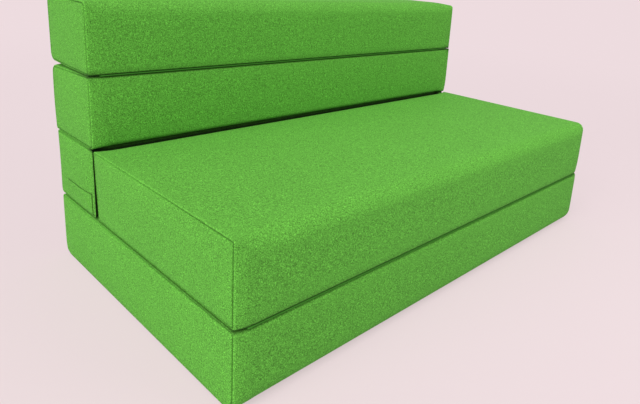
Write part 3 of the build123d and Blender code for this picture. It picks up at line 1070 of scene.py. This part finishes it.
def seen_rays(tree):
    """1 for what the camera and glossy or clear surfaces see, and 0 for other rays."""
    path = node(tree, "LightPath").outputs
    seen = calculate(tree, "MAXIMUM", path["Is Camera Ray"], path["Is Glossy Ray"])
    return calculate(tree, "MAXIMUM", seen, path["Is Transmission Ray"])


def add_world():
    """An even white light, behind which the camera and glossy things see pale pink."""
    world = bpy.data.worlds.new("studio")
    world.use_nodes = True
    tree = world.node_tree
    tree.nodes.clear()
    light = node(tree, "Background", {"Color": (1, 1, 1, 1), "Strength": FILL_LEVEL}).outputs[0]
    pale = node(tree, "Background", {"Color": (*BACKDROP_PINK, 1), "Strength": 1.0}).outputs[0]
    mixed = node(tree, "MixShader", {0: seen_rays(tree), 1: light, 2: pale}).outputs[0]
    node(tree, "OutputWorld", {"Surface": mixed})
    bpy.context.scene.world = world


def aim(obj, back):
    """Points a lamp away from its back direction and adds it to the scene."""
    obj.rotation_euler = back.to_track_quat("Z", "Y").to_euler()
    bpy.context.scene.collection.objects.link(obj)


def add_lamps():
    """Soft lamps. The levels are those on a white face that is square to the light."""
    for name, (direction, angle, level) in SUNS.items():
        lamp = bpy.data.lights.new(name, "SUN")
        lamp.angle = angle
        lamp.energy = level * math.pi
        aim(bpy.data.objects.new(name, lamp), direction)
    for name, (place, target, size, level) in NEAR_LAMPS.items():
        lamp = bpy.data.lights.new(name, "AREA")
        lamp.size = size
        lamp.energy = level * math.pi**2 * (place - target).length_squared
        obj = bpy.data.objects.new(name, lamp)
        obj.location = place
        aim(obj, place - target)


def add_floor():
    """A pale floor that reaches past the view and fades into the backdrop."""
    shape = bmesh.new()
    bmesh.ops.create_circle(shape, cap_ends=True, segments=128, radius=FLOOR_RADIUS)
    mesh = bpy.data.meshes.new("studio_floor")
    shape.to_mesh(mesh)
    shape.free()
    floor = bpy.data.objects.new("studio_floor", mesh)
    floor.location.z = -FLOOR_DROP
    bpy.context.scene.collection.objects.link(floor)
    material, tree, shader, rest = start_material("floor_paint", FLOOR_PINK, *FLOOR_FINISH)
    seen = seen_rays(tree)
    colours = {"Factor": seen, "A": (*FLOOR_GREY, 1), "B": (*FLOOR_PINK, 1)}
    colour = node(tree, "Mix", colours, data_type="RGBA").outputs["Result"]
    tree.links.new(colour, shader.inputs["Base Color"])
    glow = node(tree, "Emission", {"Color": (*BACKDROP_PINK, 1), "Strength": 1.0}).outputs[0]
    away = node(tree, "VectorMath", {0: rest}, operation="LENGTH").outputs["Value"]
    limits = {0: away, 1: FLOOR_NEAR, 2: FLOOR_FAR, 3: FLOOR_SHOWN, 4: 1.0}
    share = node(tree, "MapRange", limits, interpolation_type="SMOOTHSTEP").outputs[0]
    share = calculate(tree, "MULTIPLY", seen, share)
    shown = node(tree, "MixShader", {0: share, 1: shader.outputs[0], 2: glow}).outputs[0]
    tree.links.new(shown, tree.nodes["Material Output"].inputs["Surface"])
    mesh.materials.append(material)


# Making


add_camera()
add_world()
add_floor()
add_lamps()
bpy.context.scene.view_settings.view_transform = "Standard"

fabric, fold_shade_cloth, zip_cloth = (woven(name, *looks) for name, looks in CLOTHS.items())
coil_plastic, zip_paint = (moulded(name, *looks) for name, looks in SKINS.items())
foam_body = foam_material()

blocks = {name: Block(name) for name in BLOCKS}
simulate_panels(blocks)
for name, block in blocks.items():
    vertices, faces, uvs, shade = cover_mesh(block)
    cushion = add_object(f"{name}_cushion", vertices, faces, uvs, shade)
    covered = [f"{name}_cover", f"{name}_end_left", f"{name}_end_right"]
    block.tree = BVHTree.FromPolygons(vertices.tolist(), faces)
    finish_piece(cushion, block.body, fabric, covered)
    core = core_mesh(block, f"{name}_foam_core")
    finish_piece(core, block.body, foam_body, [f"{name}_foam"])
    tapes = zip_tape_mesh(f"{name}_zip_tapes", block)
    finish_piece(tapes, block.body, zip_cloth, [f"{name}_zip_tape"])
    low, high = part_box(f"{name}_zip_tape")
    chain = chain_mesh(f"{name}_zip_coils", block)
    finish_piece(chain, block.body, coil_plastic, [f"{name}_zip_chain"])
    for part in ("slider", "pull"):
        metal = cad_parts[f"{name}_zip_{part}"]
        metal.data.materials.clear()
        metal.data.materials.append(zip_paint)

folds = {
    "seat_fold": ("base", "seat", blocks["seat"].front, 1),
    "middle_fold": ("seat", "middle_back", blocks["middle_back"].rear, -1),
    "top_fold": ("middle_back", "top_back", blocks["top_back"].front, 1),
}
# The fold tapes take the darker fold cloth: painted shade in the creases
for name, (first, second, face, inward) in folds.items():
    low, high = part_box(f"{name}_tape")
    level = blocks[second].bottom
    route = fold_route(face, level, inward)
    tape = strip(f"{name}_strip", [route], TAPE_THICKNESS, high.x)
    tape.data.materials.append(fold_shade_cloth)
    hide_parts(f"{name}_tape")
    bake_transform(tape)

# The strip in the gap behind the seat takes the same darker cloth: painted shade in the gap
low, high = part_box("seat_gap_tape")
across = spread(low.y, high.y, GAP_STEP)
gap_route = [(y, (low.z + high.z) / 2) for y in across]
gap_strip = strip("seat_gap_strip", [gap_route], TAPE_THICKNESS, high.x)
finish_piece(gap_strip, "seat", fold_shade_cloth, ["seat_gap_tape"])

for side, word in ((-1, "left"), (1, "right")):
    low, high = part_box(f"lower_back_patch_{word}")
    size = (high.y - low.y, high.z - low.z)
    block = blocks["lower_back"]
    patch = patch_mesh(f"corner_patch_{word}", block, side, size)
    finish_piece(patch, "seat", fabric, [f"lower_back_patch_{word}"])
